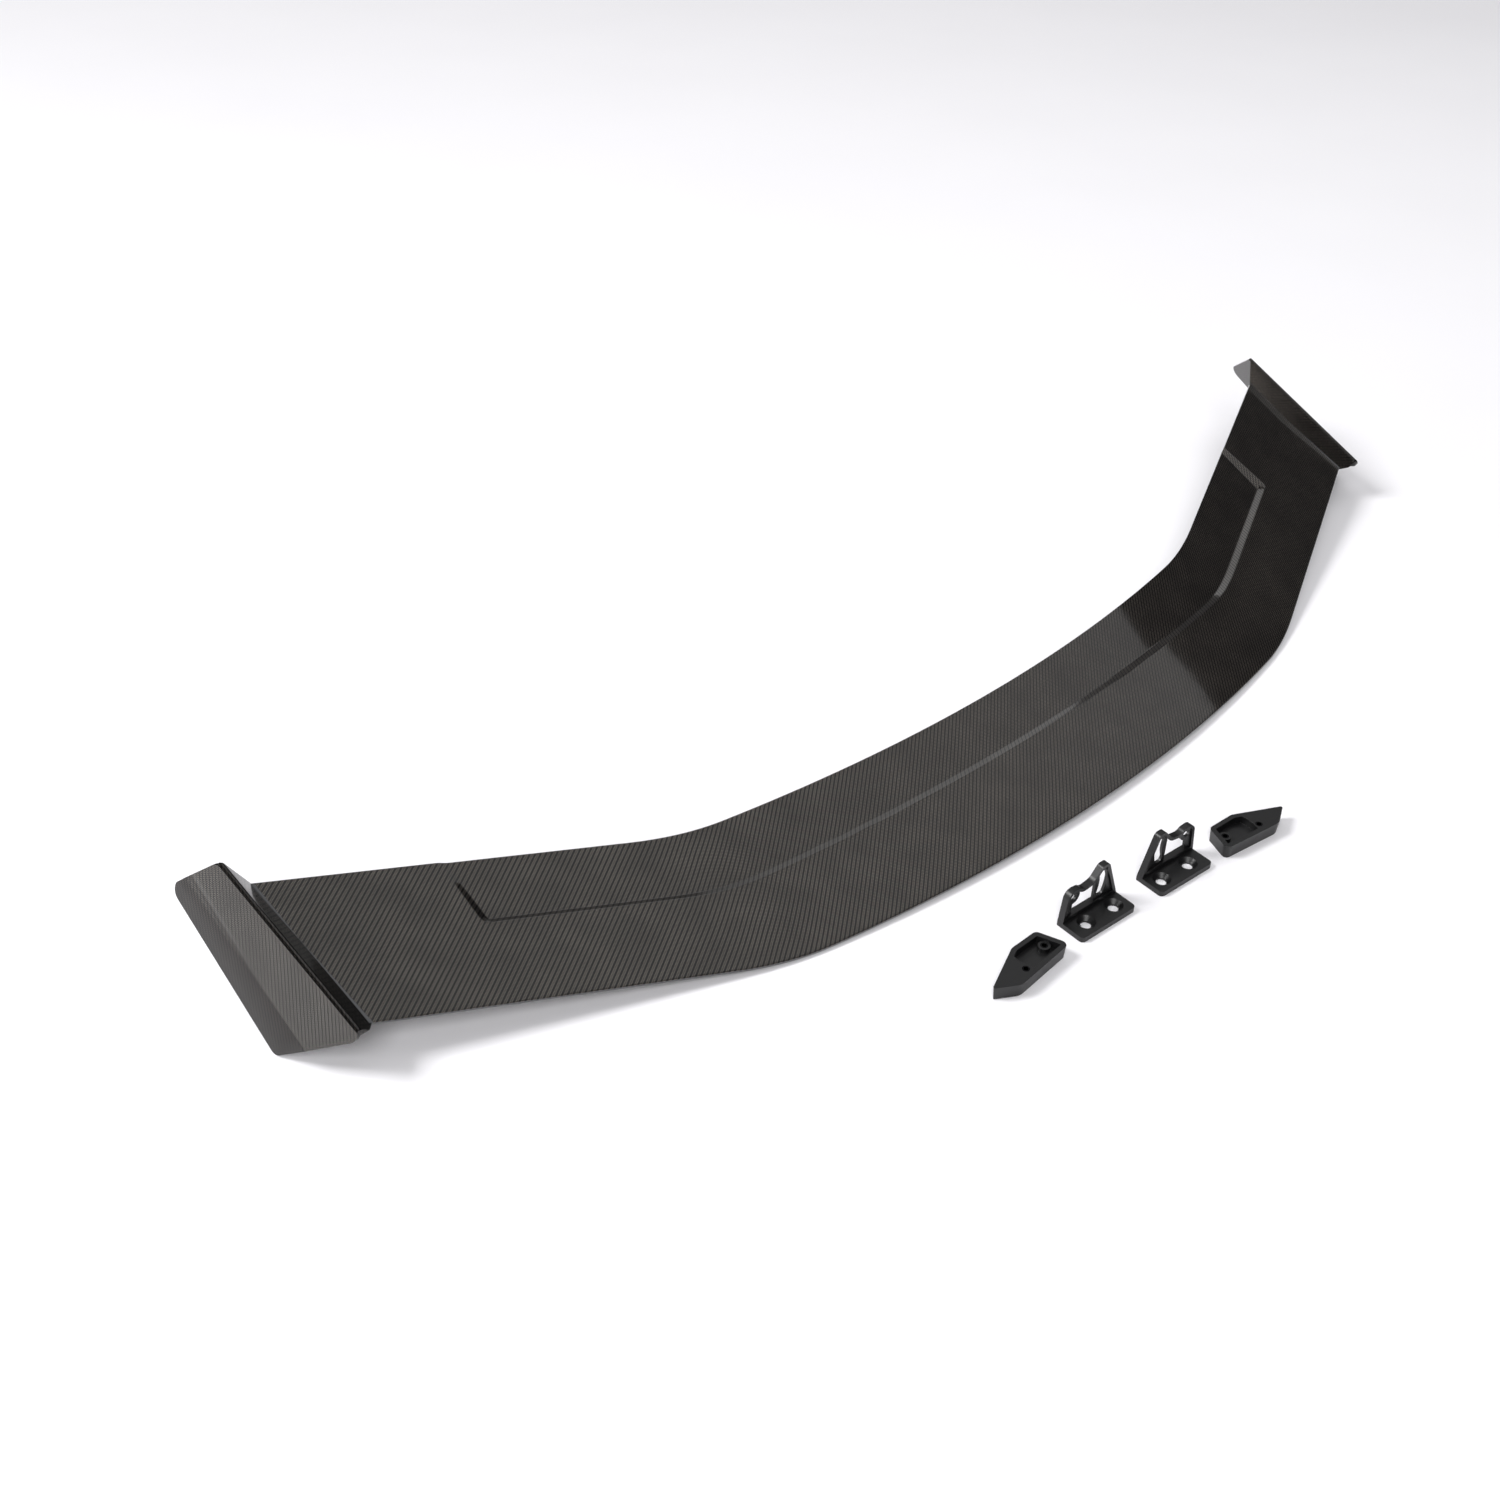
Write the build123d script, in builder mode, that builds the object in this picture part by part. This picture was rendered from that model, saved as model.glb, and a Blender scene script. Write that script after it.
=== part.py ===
from build123d import *
from math import asin, cos, degrees, hypot, radians, sin
import os

os.makedirs("parts", exist_ok=True)

# Rear wing of moulded carbon fibre, lying on the floor with its four loose mounting pieces in front.
# Millimetres. X runs along the span, +Y points to the leading edge, +Z up, the floor is Z = 0.

# Blade, measured at its leading edge
half_span = 650.0  # centre line to the leading edge's tip
kink_x = 338.0  # where the bowed centre ends and the swept outer panels start
kink_ease = 40.0  # half the length over which that corner is rounded
bow_y = 36.5  # the kinks lie this far ahead of the centre
bow_z = -2.5
sweep_y = 142.0  # the tips lie this far ahead of the kinks
rise_z = 39.8
chord = 142.5
incidence_centre = 19.3  # degrees, as the blade lies
incidence_kink = 20.0
incidence_tip = 21.3
nose_centre_y = 19.1

# Blade section, heights measured square to the chord line
trailing_thickness = 4.5
nose_above = 3.0
nose_below = 1.5
belly = 14.0
belly_shift = 0.35  # moves the deepest place towards the nose
top_hollow = 1.4
skin = 1.2

# Shallow recess along the leading edge's top
ridge_centre = 0.596  # share of the chord, from the trailing edge
ridge_kink = 0.55
recess_x = 512.0
recess_wall = 7.0
recess_depth = 5.0
nose_bond = 0.3  # least bonding resin between the two skins at the recessed leading edge
recess_wall_chord = 7.0

# Filling between the skins
bond_trailing = 16.0
bond_leading = 11.0
mount_x = 230.0
mount_share = 0.475  # chord share of the middle of a bracket's two inserts
block_width = 46.0
block_length = 66.0
insert_radius = 6.5
insert_length = 9.0
thread_radius = 3.4  # tapped M8

# End plates; places are taken from the leading edge's tip
lip_front_from_tip = (0.0, -160.0, -42.5)
lip_back_from_tip = (11.5, 9.0, 24.5)
foot_from_tip = (42.0, -87.0)
foot_rise = -0.2  # height of the panel's outer face where its lower edges would meet
plate_overhang = 4.0
heel_from_foot = (157.0, 24.5)
plate_thickness = 2.5
flange_width = 31.0
fold_height = 4.0
plate_stand = 21.0  # plate's outer face to the blade's end, square to the plate
corner_back = 14.0
corner_heel = 10.0
corner_foot = 8.0
corner_front = 8.0
lip_radius = 3.0
lip_drop = 5.0  # the panel's own top edge lies this far under the lip, inside it
lip_sink = 1.6  # the lip's inner edge is drawn this far into the blade's hollow top

# Brackets
bracket_length = 63.5
bracket_depth = 28.4
base_thickness = 5.0
upright_thickness = 6.0
web_thickness = 2.5
rim_width = 2.9
hole_pitch = 32.7
hole_inset = 17.3
hole_depth = 12.7
hole_radius = 4.5
sink_radius = 8.0
pivot = (10.5, 27.5)
pivot_radius = 4.3
lug_radius = 7.8
slot_reach = 35.2
slot_width = 9.0
slot_low = 15.9
slot_high = 33.4
clamp_lug = [(17.0, 34.6), (20.5, 31.6), (32.0, 33.4), (41.3, 44.7), (49.2, 44.7)]
clamp_lug_radii = [5.0, 7.0, 9.0, 4.0, 4.0]
window_right = 36.2
field_bottom = 9.5
base_corner = 4.0
bracket_left_at = (-114.8, -220.7)  # middle of the base's front edge
bracket_left_turn = -4.0
bracket_right_at = (-22.8, -229.9)
bracket_right_turn = -4.5

# Bracket covers
cover_thickness = 13.0
cover_taper = 4.0
cover_wall = 3.6
pocket_depth = 7.0
pocket_reach = 30.0
boss_at = (12.4, 14.0)
boss_radius = 5.2
boss_below_rim = 2.5
clamp_at = (46.0, 7.5)
cover_insert_radius = 3.2
cover_insert_length = 8.0
cover_thread_radius = 2.1  # tapped M5
cover_outline = [(0, 0), (62, 0), (80, 13), (35, 28.7), (7, 26.5)]
cover_corners = [4.0, 12.0, 0.6, 8.0, 4.0]
cover_left_at = (-166.2, -218.3)
cover_left_turn = 4.5
cover_right_at = (25.0, -233.8)
cover_right_turn = -8.6

recess_depth_nose = nose_above + nose_below - 2 * skin - nose_bond
outboard = half_span + 60.0  # the blade is drawn past its end, then cut off by the end plate's plane
bow_stations = [0.0, 60.0, 120.0, 180.0, 240.0]
kink_stations = [kink_x + kink_ease * share for share in (-1, -0.5, 0, 0.5, 1)]
tip_stations = [recess_x, recess_x + recess_wall, half_span, outboard]
half_stations = bow_stations + kink_stations + tip_stations


def bent(x, inner, outer):
    """Offset of a span-wise line: a parabola to the kink, straight to the tip, with the corner rounded."""
    a = abs(x)
    slope_in = 2 * inner / kink_x
    slope_out = outer / (half_span - kink_x)
    line = inner * (a / kink_x) ** 2 if a < kink_x else inner + slope_out * (a - kink_x)
    ease = max(0.0, 1 - abs(a - kink_x) / kink_ease)
    return line + (slope_out - slope_in) * kink_ease * ease**2 / 4


def incidence(x):
    a = abs(x)
    if a < kink_x:
        return radians(incidence_centre + (incidence_kink - incidence_centre) * a / kink_x)
    return radians(incidence_kink + (incidence_tip - incidence_kink) * (a - kink_x) / (half_span - kink_x))


# the trailing edge's lowest place stands on the floor
nose_centre_z = -min(bent(x, bow_z, rise_z) - chord * sin(incidence(x)) for x in half_stations)


def section_point(x, share, height):
    """(y, z) at a share of the chord from the trailing edge, and a height square to the chord line."""
    turn = incidence(x)
    back = (1 - share) * chord
    y = nose_centre_y + bent(x, bow_y, sweep_y) - back * cos(turn) - height * sin(turn)
    z = nose_centre_z + bent(x, bow_z, rise_z) - back * sin(turn) + height * cos(turn)
    return y, z


def upper_line(x):
    """The four corners of the top of a section, as (share, height): recess floor, wall and front panel."""
    depth = min(1.0, max(0.0, (recess_x + recess_wall - abs(x)) / recess_wall))
    reach = min(1.0, abs(x) / kink_x)
    ridge = ridge_centre + (ridge_kink - ridge_centre) * reach**2
    foot = ridge + recess_wall_chord / chord
    tops = [trailing_thickness * (1 - s) + nose_above * s for s in (ridge, foot)]
    return [
        (0.0, trailing_thickness),
        (ridge, tops[0] - top_hollow),
        (foot, tops[1] - top_hollow - depth * recess_depth),
        (1.0, nose_above - depth * recess_depth_nose),
    ]


def height_along(corners, share):
    for (s0, h0), (s1, h1) in zip(corners, corners[1:]):
        if share <= s1:
            return h0 + (h1 - h0) * (share - s0) / (s1 - s0)
    return corners[-1][1]


def upper(x, share):
    return height_along(upper_line(x), share)


def belly_depth(share):
    return belly * 4 * share * (1 - share) * (1 + belly_shift * (2 * share - 1)) + nose_below * share


lower_line = [(s, -belly_depth(s)) for s in (0.0, 0.12, 0.26, 0.42, 0.58, 0.74, 0.88, 1.0)]


def lower(share):
    return height_along(lower_line, share)


def between(x, start, end, top_gap, bottom_gap):
    """Outline of what lies between the two surfaces from one share of the chord to another."""
    inner_tops = [s for s, h in upper_line(x) if start < s < end]
    inner_lows = [s for s, h in lower_line if start < s < end]
    top = [(s, upper(x, s) - top_gap) for s in [start, *inner_tops, end]]
    low = [(s, lower(s) + bottom_gap) for s in [start, *inner_lows, end]]
    return [section_point(x, s, h) for s, h in top + low[::-1]]


def upper_skin_outline(x):
    corners = upper_line(x)
    under = [(s, h - skin) for s, h in corners]
    return [section_point(x, s, h) for s, h in corners + under[::-1]]


def lower_skin_outline(x):
    inside = [(s, h + skin) for s, h in lower_line]
    return [section_point(x, s, h) for s, h in inside + lower_line[::-1]]


def span(low, high):
    """Stations of the blade from low to high, both ends included."""
    every = sorted({-x for x in half_stations} | set(half_stations))
    return [low, *[x for x in every if low < x < high], high]


def stretch(stations, outline):
    """Joins the outlines at these stations into the open BuildPart."""
    sections = []
    for x in stations:
        with BuildSketch(Plane.YZ.offset(x)) as section:
            with BuildLine():
                Polyline(*outline(x), close=True)
            make_face()
        sections.append(section.sketch.face())
    loft(sections, ruled=True)


# End plate frame: x along the lip towards the back, y up across the plate, z out of its outer face
tip_y, tip_z = section_point(half_span, 1.0, 0.0)
lip_front = Vector(half_span, tip_y, tip_z) + Vector(*lip_front_from_tip)
lip_back = Vector(half_span, tip_y, tip_z) + Vector(*lip_back_from_tip)
foot = Vector(half_span + foot_from_tip[0], tip_y + foot_from_tip[1], foot_rise)
lip_run = lip_back - lip_front
plate_plane = Plane(origin=lip_front, x_dir=lip_run, z_dir=(foot - lip_front).cross(lip_run))
blade_end = plate_plane.offset(-plate_stand)
panel_inside = plate_plane.offset(-plate_thickness)


def blade_reaches(plane, share, height):
    """Where a line of the blade's surface, followed outboard, meets a plane, in the plate's own frame."""
    near, far = kink_x + kink_ease, outboard
    for _ in range(50):
        x = (near + far) / 2
        point = Vector(x, *section_point(x, share, height))
        if plane.to_local_coords(point).Z < 0:
            near = x
        else:
            far = x
    return plate_plane.to_local_coords(point)


def cut_at_plates():
    """Cuts the open BuildPart off at both blade ends."""
    split(bisect_by=blade_end, keep=Keep.BOTTOM)
    split(bisect_by=blade_end_left, keep=Keep.BOTTOM)


def reflected(plane):
    """The same plane on the other side of the wing, still facing outboard."""
    o, x, z = plane.origin, plane.x_dir, plane.z_dir
    return Plane(origin=(-o.X, o.Y, o.Z), x_dir=(-x.X, x.Y, x.Z), z_dir=(-z.X, z.Y, z.Z))


blade_end_left = reflected(blade_end)
whole_span = span(-outboard, outboard)

# Inserts stand square to the chord, their mouths in the blade's underside
mount_shares = [mount_share - hole_pitch / chord / 2, mount_share + hole_pitch / chord / 2]
insert_planes = {}
for side, sign in (("left", -1), ("right", 1)):
    turn = incidence(mount_x)
    insert_planes[side] = [
        Plane(
            origin=(sign * mount_x, *section_point(mount_x, share, lower(share))),
            x_dir=(1, 0, 0),
            z_dir=(0, -sin(turn), cos(turn)),
        )
        for share in mount_shares
    ]
every_insert_plane = insert_planes["left"] + insert_planes["right"]
block_planes = {}
for side, sign in (("left", -1), ("right", 1)):
    block_planes[side] = Plane(
        origin=(sign * mount_x, *section_point(mount_x, mount_share, 0)),
        x_dir=(1, 0, 0),
        z_dir=insert_planes[side][0].z_dir,
    )


def finished(piece, name):
    piece.part.label = name
    export_step(piece.part, f"parts/{name}.step")


# Skins
with BuildPart() as upper_skin:
    stretch(whole_span, upper_skin_outline)
    cut_at_plates()
finished(upper_skin, "upper_skin")

with BuildPart() as lower_skin:
    stretch(whole_span, lower_skin_outline)
    cut_at_plates()
    with Locations(*every_insert_plane):
        Cylinder(insert_radius, 4 * skin, mode=Mode.SUBTRACT)
finished(lower_skin, "lower_skin")

# Bonded edges
bond_end = bond_trailing / chord
core_end = 1 - bond_leading / chord
with BuildPart() as trailing_edge_bond:
    stretch(whole_span, lambda x: between(x, 0.0, bond_end, skin, skin))
    cut_at_plates()
finished(trailing_edge_bond, "trailing_edge_bond")

with BuildPart() as leading_edge_bond:
    stretch(whole_span, lambda x: between(x, core_end, 1.0, skin, skin))
    cut_at_plates()
finished(leading_edge_bond, "leading_edge_bond")


def core_outline(x):
    return between(x, bond_end, core_end, skin, skin)


# Foam core in three lengths, the middle one let out for the two mounting blocks
with BuildPart() as foam_core_centre:
    stretch(span(-kink_x, kink_x), core_outline)
    with Locations(*block_planes.values()):
        Box(block_width, block_length, 4 * belly, mode=Mode.SUBTRACT)
finished(foam_core_centre, "foam_core_centre")

with BuildPart() as foam_core_right:
    stretch(span(kink_x, outboard), core_outline)
    split(bisect_by=blade_end, keep=Keep.BOTTOM)
finished(foam_core_right, "foam_core_right")

with BuildPart() as foam_core_left:
    mirror(foam_core_right.part, about=Plane.YZ)
finished(foam_core_left, "foam_core_left")

for side in ("left", "right"):
    with BuildPart() as mounting_block:
        stretch(span(-kink_x, kink_x), core_outline)
        with Locations(block_planes[side]):
            Box(block_width, block_length, 4 * belly, mode=Mode.INTERSECT)
        with Locations(*insert_planes[side]):
            Cylinder(
                insert_radius,
                insert_length,
                align=(Align.CENTER, Align.CENTER, Align.MIN),
                mode=Mode.SUBTRACT,
            )
    finished(mounting_block, f"mounting_block_{side}")

    with BuildPart() as threaded_inserts:
        with Locations(*insert_planes[side]):
            Cylinder(insert_radius, insert_length, align=(Align.CENTER, Align.CENTER, Align.MIN))
            Cylinder(
                thread_radius,
                insert_length,
                align=(Align.CENTER, Align.CENTER, Align.MIN),
                mode=Mode.SUBTRACT,
            )
    finished(threaded_inserts, f"threaded_inserts_{side}")


def envelope():
    """The blade's outside, as a solid in the open BuildPart, past its right-hand end."""
    stretch(span(kink_x, outboard), lambda x: between(x, 0.0, 1.0, 0.0, 0.0))


with BuildPart() as closing_rib_right:
    envelope()
    split(bisect_by=blade_end, keep=Keep.TOP)
    split(bisect_by=panel_inside, keep=Keep.BOTTOM)
finished(closing_rib_right, "closing_rib_right")

with BuildPart() as closing_rib_left:
    mirror(closing_rib_right.part, about=Plane.YZ)
finished(closing_rib_left, "closing_rib_left")

# End plate: a folded panel whose lip turns over and comes down on the blade's top
lip_length = lip_run.length
foot_local = plate_plane.to_local_coords(foot)
heel = (foot_local.X + heel_from_foot[0], foot_local.Y + heel_from_foot[1])
panel_back = lip_length + plate_overhang
low_length = hypot(*heel_from_foot)
up_x, up_y = -heel_from_foot[1] / low_length, heel_from_foot[0] / low_length
fold_front = (foot_local.X + flange_width * up_x, foot_local.Y + flange_width * up_y)
fold_back = (heel[0] + flange_width * up_x, heel[1] + flange_width * up_y)


def local_plane(a, b, c):
    """Plane through three points of the plate's frame, facing out of the plate."""
    a, b, c = (plate_plane.from_local_coords(Vector(*p)) for p in (a, b, c))
    normal = (b - a).cross(c - a)
    if normal.dot(plate_plane.z_dir) < 0:
        normal = -normal
    return Plane(origin=a, x_dir=b - a, z_dir=normal)


facet = local_plane((0, 0, 0), (lip_length, 0, 0), (*fold_front, fold_height))
flange = local_plane((foot_local.X, foot_local.Y, 0), (*heel, 0), (*fold_front, fold_height))


def on_facet(point):
    """The place on the upper facet straight outboard of a point of the plate's frame."""
    return Vector(point.X, point.Y, fold_height * point.Y / fold_front[1])


def on_lip(edge):
    ends = [plate_plane.to_local_coords(edge @ share) for share in (0, 1)]
    return all(hypot(p.Y, p.Z) < 0.01 for p in ends)


def lip_section(lip_x, inner_edge, root):
    """Triangle from the lip down to the blade's top and out to the panel."""
    corners = [Vector(lip_x, 0, 0), inner_edge, on_facet(root)]
    return Face(Wire.make_polygon([plate_plane.from_local_coords(p) for p in corners]))


with BuildPart() as panel:
    with BuildSketch(panel_inside):
        with BuildLine():
            Polyline((0, -lip_drop), (panel_back, -lip_drop), heel, (foot_local.X, foot_local.Y), close=True)
        make_face()
    extrude(amount=plate_thickness + fold_height)
    split(bisect_by=facet, keep=Keep.BOTTOM)
    split(bisect_by=flange, keep=Keep.BOTTOM)

with BuildPart() as end_plate_right:
    inner_front = blade_reaches(blade_end, 0.0, trailing_thickness - lip_sink)
    inner_back = blade_reaches(blade_end, 1.0, nose_above - lip_sink)
    root_front = blade_reaches(panel_inside, 0.0, trailing_thickness / 2)
    root_back = blade_reaches(panel_inside, 1.0, 0.0)
    ends = [lip_section(0, inner_front, root_front), lip_section(panel_back, inner_back, root_back)]
    loft(ends, ruled=True)
    fillet(edges().filter_by(on_lip), lip_radius)
    add(panel.part)
    with BuildSketch(plate_plane.offset(-2 * plate_stand)):
        with BuildLine():
            FilletPolyline(
                (0, 0),
                (panel_back, 0),
                heel,
                (foot_local.X, foot_local.Y),
                radius=(corner_front, corner_back, corner_heel, corner_foot),
                close=True,
            )
        make_face()
    extrude(amount=3 * plate_stand, mode=Mode.INTERSECT)
    add(closing_rib_right.part, mode=Mode.SUBTRACT)
finished(end_plate_right, "end_plate_right")

with BuildPart() as end_plate_left:
    mirror(end_plate_right.part, about=Plane.YZ)
finished(end_plate_left, "end_plate_left")


# Brackets: a countersunk base and an upright with a pivot lug and an arc slot about it
def floor_plane(at, turn):
    turn = radians(turn)
    return Plane(origin=(*at, 0), x_dir=(cos(turn), sin(turn), 0), z_dir=(0, 0, 1))


def along(point, hand):
    """A point of a bracket's face, measured from its pivot end, as seen from the front."""
    return (hand * (point[0] - bracket_length / 2), point[1])


def upright_outline(hand):
    """Pivot lug, dip and tall clamp lug, as edges in the open BuildLine."""
    lug_side = (pivot[0] - lug_radius, pivot[1])
    lug_middle = (pivot[0] - lug_radius * cos(radians(45)), pivot[1] + lug_radius * sin(radians(45)))
    lug_top = (pivot[0], pivot[1] + lug_radius)
    base = [(bracket_length, 0), (0, 0), (0, base_thickness), lug_side]
    Polyline(*[along(p, hand) for p in base])
    ThreePointArc(along(lug_side, hand), along(lug_middle, hand), along(lug_top, hand))
    ridge = [lug_top, *clamp_lug, (bracket_length, base_thickness)]
    FilletPolyline(*[along(p, hand) for p in ridge], radius=clamp_lug_radii)
    Line(along(ridge[-1], hand), along((bracket_length, 0), hand))


def bracket(at, turn, hand):
    """One bracket in the open BuildPart; hand -1 has its pivot lug on the right."""
    floor = floor_plane(at, turn)
    back = Plane(
        origin=floor.from_local_coords(Vector(0, bracket_depth, 0)),
        x_dir=floor.x_dir,
        z_dir=-floor.y_dir,
    )
    with BuildSketch(floor) as base:
        with Locations((0, bracket_depth / 2)):
            Rectangle(bracket_length, bracket_depth)
        fillet(base.vertices().group_by(Axis.Y)[0], base_corner)
    extrude(base.sketch, amount=base_thickness)
    with BuildSketch(back) as upright:
        with BuildLine():
            upright_outline(hand)
        make_face()
    extrude(upright.sketch, amount=upright_thickness)
    pocket = (upright_thickness - web_thickness) / 2
    with BuildSketch() as field:
        with BuildLine():
            upright_outline(hand)
        make_face()
        offset(amount=-rim_width)
        with Locations((0, field_bottom / 2)):
            Rectangle(2 * bracket_length, field_bottom, mode=Mode.SUBTRACT)
    for depth in (0, upright_thickness - pocket):
        extrude(back.offset(depth) * field.sketch, amount=pocket, mode=Mode.SUBTRACT)
    with BuildSketch() as window:
        add(field.sketch)
        with Locations(along((0, 0), hand)):
            Rectangle(
                bracket_length,
                2 * bracket_length,
                align=(Align.MAX if hand > 0 else Align.MIN, Align.CENTER),
                mode=Mode.SUBTRACT,
            )
        with Locations(along((window_right + bracket_length / 2, 0), hand)):
            Rectangle(bracket_length, 2 * bracket_length, mode=Mode.SUBTRACT)
        with Locations(along((pivot[0] - bracket_length / 2, 0), hand)):
            Rectangle(bracket_length, 2 * bracket_length, mode=Mode.SUBTRACT)
        with Locations(along(pivot, hand)):
            Circle(lug_radius, mode=Mode.SUBTRACT)
    opening = window.sketch.faces().sort_by(SortBy.AREA)[-1]
    extrude(back * opening, amount=upright_thickness, mode=Mode.SUBTRACT)
    low, high = (degrees(asin((z - pivot[1]) / slot_reach)) for z in (slot_low, slot_high))
    start, size = (low, high - low) if hand > 0 else (180 - low, low - high)
    with BuildSketch(back) as openings:
        with Locations(along(pivot, hand)):
            Circle(pivot_radius)
        with BuildLine(mode=Mode.PRIVATE) as track:
            CenterArc(along(pivot, hand), slot_reach, start, size)
        SlotArc(track.edge(), slot_width)
    extrude(openings.sketch, amount=upright_thickness, mode=Mode.SUBTRACT)
    for hole in (hole_inset, hole_inset + hole_pitch):
        with Locations(floor.offset(base_thickness)):
            with Locations((along((hole, 0), hand)[0], hole_depth)):
                CounterSinkHole(hole_radius, sink_radius, counter_sink_angle=90)


# Covers: a wedge with a pocket for the bracket's lug, a boss in it, and a second fixing in the solid end
def cover(at, turn, hand):
    floor = floor_plane(at, turn)
    rim = floor.offset(cover_thickness)
    outline = [(hand * u, v) for u, v in cover_outline]
    boss = (hand * boss_at[0], boss_at[1])
    clamp = (hand * clamp_at[0], clamp_at[1])
    with BuildSketch(floor) as plan:
        with BuildLine():
            FilletPolyline(*outline, radius=cover_corners, close=True)
        make_face()
    extrude(plan.sketch, amount=cover_thickness, taper=-cover_taper)
    with BuildSketch(rim) as pocket:
        with BuildLine():
            FilletPolyline(*outline, radius=cover_corners, close=True)
        make_face()
        offset(amount=-cover_wall)
        with Locations(boss):
            Circle(pocket_reach, mode=Mode.INTERSECT)
            Circle(boss_radius, mode=Mode.SUBTRACT)
    extrude(pocket.sketch, amount=-pocket_depth, mode=Mode.SUBTRACT)
    with BuildSketch(rim) as boss_top:
        with Locations(boss):
            Circle(boss_radius)
    extrude(boss_top.sketch, amount=-boss_below_rim, mode=Mode.SUBTRACT)
    for place, top in ((boss, cover_thickness - boss_below_rim), (clamp, cover_thickness)):
        with Locations(floor.offset(top)):
            with Locations(place):
                Hole(cover_insert_radius, cover_insert_length)


def cover_inserts(at, turn, hand):
    floor = floor_plane(at, turn)
    tops = ((boss_at, cover_thickness - boss_below_rim), (clamp_at, cover_thickness))
    for (u, v), top in tops:
        with BuildSketch(floor.offset(top)) as ring:
            with Locations((hand * u, v)):
                Circle(cover_insert_radius)
                Circle(cover_thread_radius, mode=Mode.SUBTRACT)
        extrude(ring.sketch, amount=-cover_insert_length)


for side, hand, at, turn in (
    ("left", 1, bracket_left_at, bracket_left_turn),
    ("right", -1, bracket_right_at, bracket_right_turn),
):
    with BuildPart() as bracket_piece:
        bracket(at, turn, hand)
    finished(bracket_piece, f"bracket_{side}")

for side, hand, at, turn in (
    ("left", -1, cover_left_at, cover_left_turn),
    ("right", 1, cover_right_at, cover_right_turn),
):
    with BuildPart() as cover_piece:
        cover(at, turn, hand)
    finished(cover_piece, f"bracket_cover_{side}")
    with BuildPart() as insert_pair:
        cover_inserts(at, turn, hand)
    finished(insert_pair, f"cover_inserts_{side}")
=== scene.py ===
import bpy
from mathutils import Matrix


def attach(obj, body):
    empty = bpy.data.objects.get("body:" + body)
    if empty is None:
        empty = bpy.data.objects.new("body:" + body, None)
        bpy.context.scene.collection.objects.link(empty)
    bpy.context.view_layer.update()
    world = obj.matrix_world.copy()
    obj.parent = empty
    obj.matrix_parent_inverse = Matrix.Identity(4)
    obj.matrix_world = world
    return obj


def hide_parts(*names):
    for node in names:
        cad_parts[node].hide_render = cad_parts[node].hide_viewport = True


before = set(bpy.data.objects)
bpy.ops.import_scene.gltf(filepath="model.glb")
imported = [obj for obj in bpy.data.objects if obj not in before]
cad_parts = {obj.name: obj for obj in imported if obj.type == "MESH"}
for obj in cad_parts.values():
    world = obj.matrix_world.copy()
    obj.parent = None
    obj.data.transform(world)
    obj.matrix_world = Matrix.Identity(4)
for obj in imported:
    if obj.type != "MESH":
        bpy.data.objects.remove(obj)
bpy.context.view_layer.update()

import math
import bmesh
import bpy
from mathutils import Matrix, Vector

mm = 0.001
scene = bpy.context.scene


def linear(hexColour):
    # sRGB hex to the linear colour that shader sockets take
    channels = [int(hexColour[i:i + 2], 16) / 255 for i in (1, 3, 5)]
    return [c / 12.92 if c <= 0.04045 else ((c + 0.055) / 1.055) ** 2.4 for c in channels] + [1.0]


def addNode(tree, kind, inputs=None, **settings):
    # adds a node, and wires or sets its inputs
    node = tree.nodes.new(kind)
    for name, value in settings.items():
        setattr(node, name, value)
    for key, value in (inputs or {}).items():
        if isinstance(value, bpy.types.NodeSocket):
            tree.links.new(value, node.inputs[key])
        else:
            node.inputs[key].default_value = value
    return node


def calc(tree, operation, first, second=0.0, third=0.0):
    return addNode(tree, "ShaderNodeMath", {0: first, 1: second, 2: third}, operation=operation).outputs[0]


def blend(tree, factor, low, high):
    # plain number from low to high as the factor goes 0 to 1
    return addNode(
        tree, "ShaderNodeMapRange", {"Value": factor, "To Min": low, "To Max": high}
    ).outputs["Result"]


def colourMix(tree, factor, low, high):
    node = addNode(tree, "ShaderNodeMix", {0: factor}, data_type="RGBA")
    for socket, colour in ((node.inputs[6], low), (node.inputs[7], high)):
        if isinstance(colour, bpy.types.NodeSocket):
            tree.links.new(colour, socket)
        else:
            socket.default_value = colour
    return node.outputs[2]


def newMaterial(name):
    material = bpy.data.materials.new(name)
    material.use_nodes = True
    tree = material.node_tree
    return material, tree, tree.nodes["Principled BSDF"]


cloth = {
    "tow": 1.15 * mm,  # 1K tow width
    "warpDip": 0.3, "weftDip": 0.55,  # height left of a tow where it goes under the next
    "gapBelow": 0.22,  # lower than this, only resin shows
    "fibreAcross": 9.0, "fibreAlong": 0.35,  # fibre noise to a tow's width
    "patch": 0.035, "ripple": 0.12,  # broad unevenness of the cloth, and of the lacquer
    "resin": "#070708",
    # warp and weft are the same fibre: warp tows are painted lighter than weft tows as painted light, and
    # each highlight colour is a painted highlight on a tow's crown
    "warp": "#161413",
    "fibre": "#a39a90",
    "weft": "#0b0a0a",
    "weftHighlight": "#23211f",
}


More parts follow.
